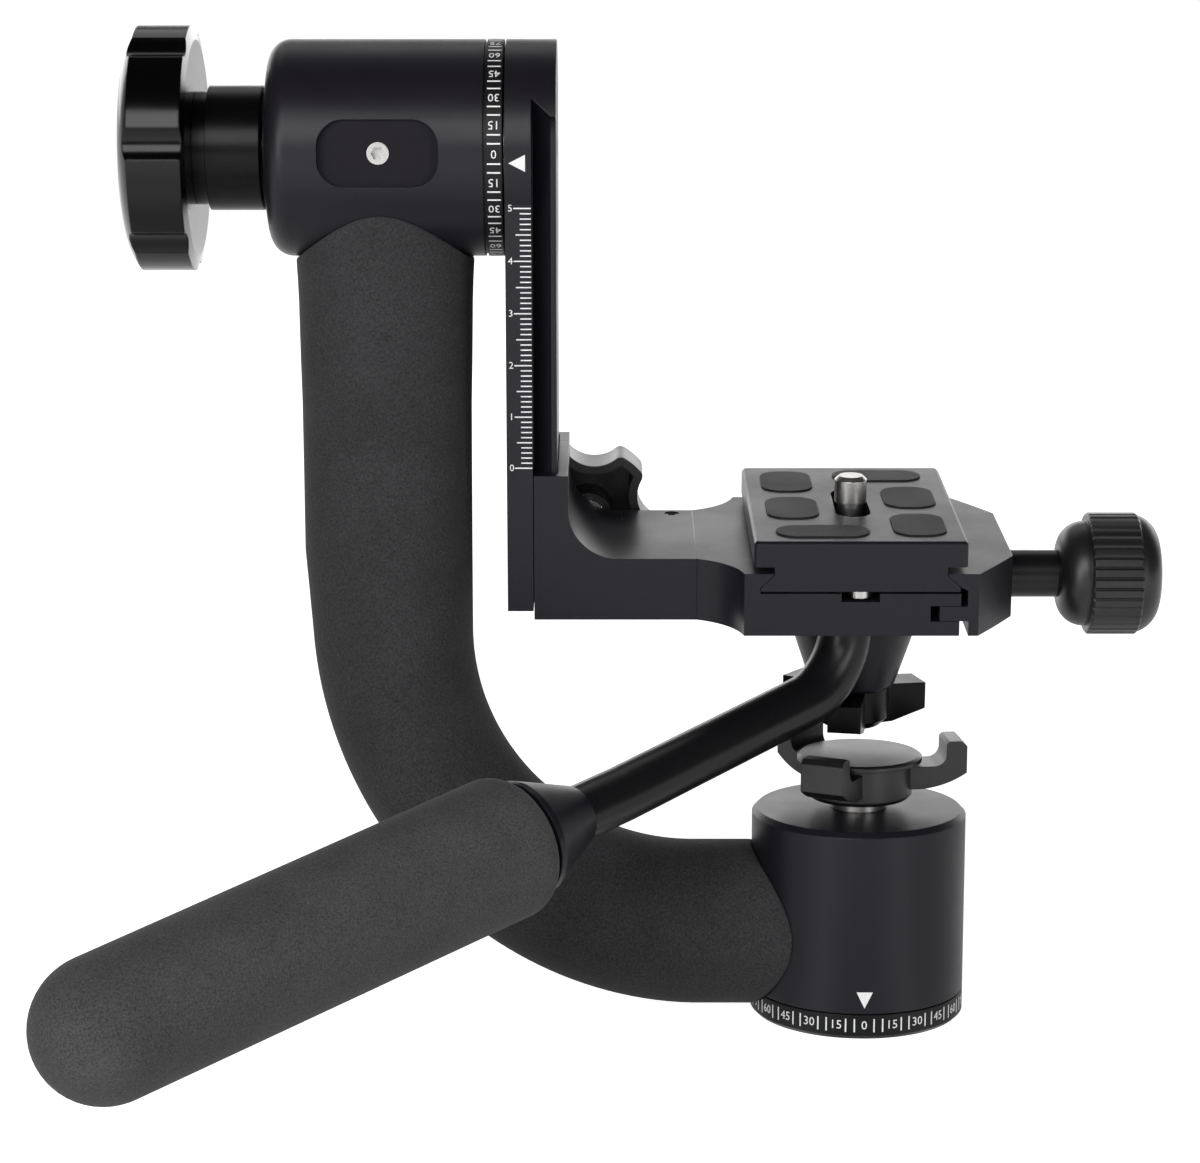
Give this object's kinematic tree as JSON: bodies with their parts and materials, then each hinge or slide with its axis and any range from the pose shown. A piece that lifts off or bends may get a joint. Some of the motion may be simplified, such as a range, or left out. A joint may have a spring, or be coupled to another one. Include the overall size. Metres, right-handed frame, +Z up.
{
  "type": "gimbal tripod head",
  "caption": "Gimbal tripod head: a foam covered J arm on a panning base carries a tilting, height adjustable quick release clamp with a long steering handle.",
  "frame": {"origin": "centre of the tripod socket's mouth in the underside of the pan base", "axes": "+Z up along the pan axis, +X from the J arm towards the clamp knob, parallel to the tilt axis, -Y the side with the index marks and the handle"},
  "size_m": [0.2034, 0.179, 0.1956],
  "materials": {
    "satin_black": "black anodised, bead blasted",
    "foam_black": "matt foam",
    "gloss_black": "glossy moulded",
    "black_plastic": "fine texture",
    "rubber_black": "matt",
    "steel": "machined",
    "black_steel": "blackened",
    "bearing_steel": "ground",
    "bronze": "sintered"
  },
  "bodies": {
    "base": {"pan_base": "satin_black", "tripod_bush": "steel", "base_screws": "steel", "pan_spindle": "steel", "pan_bearing_inner": "bearing_steel"},
    "yoke": {"pan_housing": "satin_black", "pan_bearing_outer": "bearing_steel", "pan_bearing_balls": "bearing_steel", "pan_bush": "bronze", "arm_tube": "steel", "arm_plug_lower": "steel", "arm_plug_upper": "steel", "arm_bolt_lower": "black_steel", "arm_bolt_upper": "black_steel", "arm_foam": "foam_black", "tilt_housing": "satin_black", "friction_screw": "steel", "friction_slug": "bronze", "tilt_scale_ring": "satin_black", "tilt_washer": "black_plastic", "tilt_bush": "bronze", "tilt_bearing_outer": "bearing_steel", "tilt_bearing_balls": "bearing_steel"},
    "pan_lock": {"pan_lock_knob": "satin_black", "pan_knob_nut": "steel"},
    "swing": {"swing_arm": "satin_black", "tilt_shaft": "steel", "shaft_screw": "black_steel", "tilt_bearing_inner": "bearing_steel", "rail_stop_screw": "steel"},
    "tilt_lock": {"tilt_lock_knob": "gloss_black", "tilt_knob_nut": "steel", "tilt_collar": "satin_black"},
    "carriage": {"bracket": "satin_black", "clamp_body": "satin_black", "joint_screws": "black_steel", "shelf_screw": "black_steel", "handle_stud": "steel"},
    "rail_jaw": {"bracket_jaw": "satin_black"},
    "height_lock": {"height_lock_knob": "satin_black", "height_lock_screw": "steel"},
    "plate_jaw": {"clamp_jaw": "satin_black"},
    "clamp_lock": {"clamp_knob": "satin_black", "clamp_screw": "black_steel"},
    "plate": {"qr_plate": "satin_black", "plate_pads": "rubber_black", "plate_stop_screws": "steel"},
    "camera_bolt": {"camera_screw": "steel"},
    "handle": {"handle_hub": "satin_black", "handle_rod": "black_steel", "handle_ferrule": "satin_black", "handle_grip": "foam_black"},
    "handle_lock": {"handle_lock_knob": "black_plastic", "handle_knob_nut": "steel"}
  },
  "joints": [
    {"name": "pan_turn", "type": "hinge", "parent": "base", "child": "yoke", "pos_m": [0, 0, 0.0206], "axis": [0, 0, 1], "continuous": true},
    {"name": "pan_knob_turn", "type": "hinge", "parent": "base", "child": "pan_lock", "pos_m": [0, 0, 0.0466], "axis": [0, 0, 1], "range_deg": [0, 270]},
    {"name": "tilt_turn", "type": "hinge", "parent": "yoke", "child": "swing", "pos_m": [0, 0, 0.1721], "axis": [1, 0, 0], "range_deg": [-100, 12]},
    {"name": "tilt_knob_turn", "type": "hinge", "parent": "swing", "child": "tilt_lock", "pos_m": [-0.1355, 0, 0.1721], "axis": [1, 0, 0], "range_deg": [0, 270]},
    {"name": "height_slide", "type": "slide", "parent": "swing", "child": "carriage", "axis": [0, 0.0842, -0.9964], "range_m": [-0.05, 0]},
    {"name": "height_knob_turn", "type": "hinge", "parent": "rail_jaw", "child": "height_lock", "pos_m": [-0.054, 0.03151, 0.09608], "axis": [0, 0.9964, 0.0842], "range_deg": [0, 360]},
    {"name": "rail_jaw_slide", "type": "slide", "parent": "carriage", "child": "rail_jaw", "axis": [0, 0.9964, 0.0842], "range_m": [0, 0.001]},
    {"name": "clamp_knob_turn", "type": "hinge", "parent": "plate_jaw", "child": "clamp_lock", "pos_m": [0.05, 0.00714, 0.0876], "axis": [1, 0, 0], "range_deg": [0, 720]},
    {"name": "plate_jaw_slide", "type": "slide", "parent": "carriage", "child": "plate_jaw", "axis": [1, 0, 0], "range_m": [0, 0.0025]},
    {"name": "plate_slide", "type": "slide", "parent": "carriage", "child": "plate", "axis": [0, 0.9964, 0.0842], "range_m": [-0.0015, 0.0015]},
    {"name": "camera_screw_turn", "type": "hinge", "parent": "plate", "child": "camera_bolt", "pos_m": [-0.0021, 0.00589, 0.10235], "axis": [0, -0.0842, 0.9964], "continuous": true},
    {"name": "handle_swivel", "type": "hinge", "parent": "carriage", "child": "handle", "pos_m": [-0.001, 0.00825, 0.07445], "axis": [0, -0.0842, 0.9964], "range_deg": [-25, 295]},
    {"name": "handle_knob_turn", "type": "hinge", "parent": "carriage", "child": "handle_lock", "pos_m": [-0.001, 0.00935, 0.06149], "axis": [0, -0.0842, 0.9964], "range_deg": [0, 270]}
  ],
  "couplings": [
    {"joint": "height_knob_turn", "follows": "rail_jaw_slide", "rad_per_m": 6283.2},
    {"joint": "clamp_knob_turn", "follows": "plate_jaw_slide", "rad_per_m": 5026.5}
  ]
}
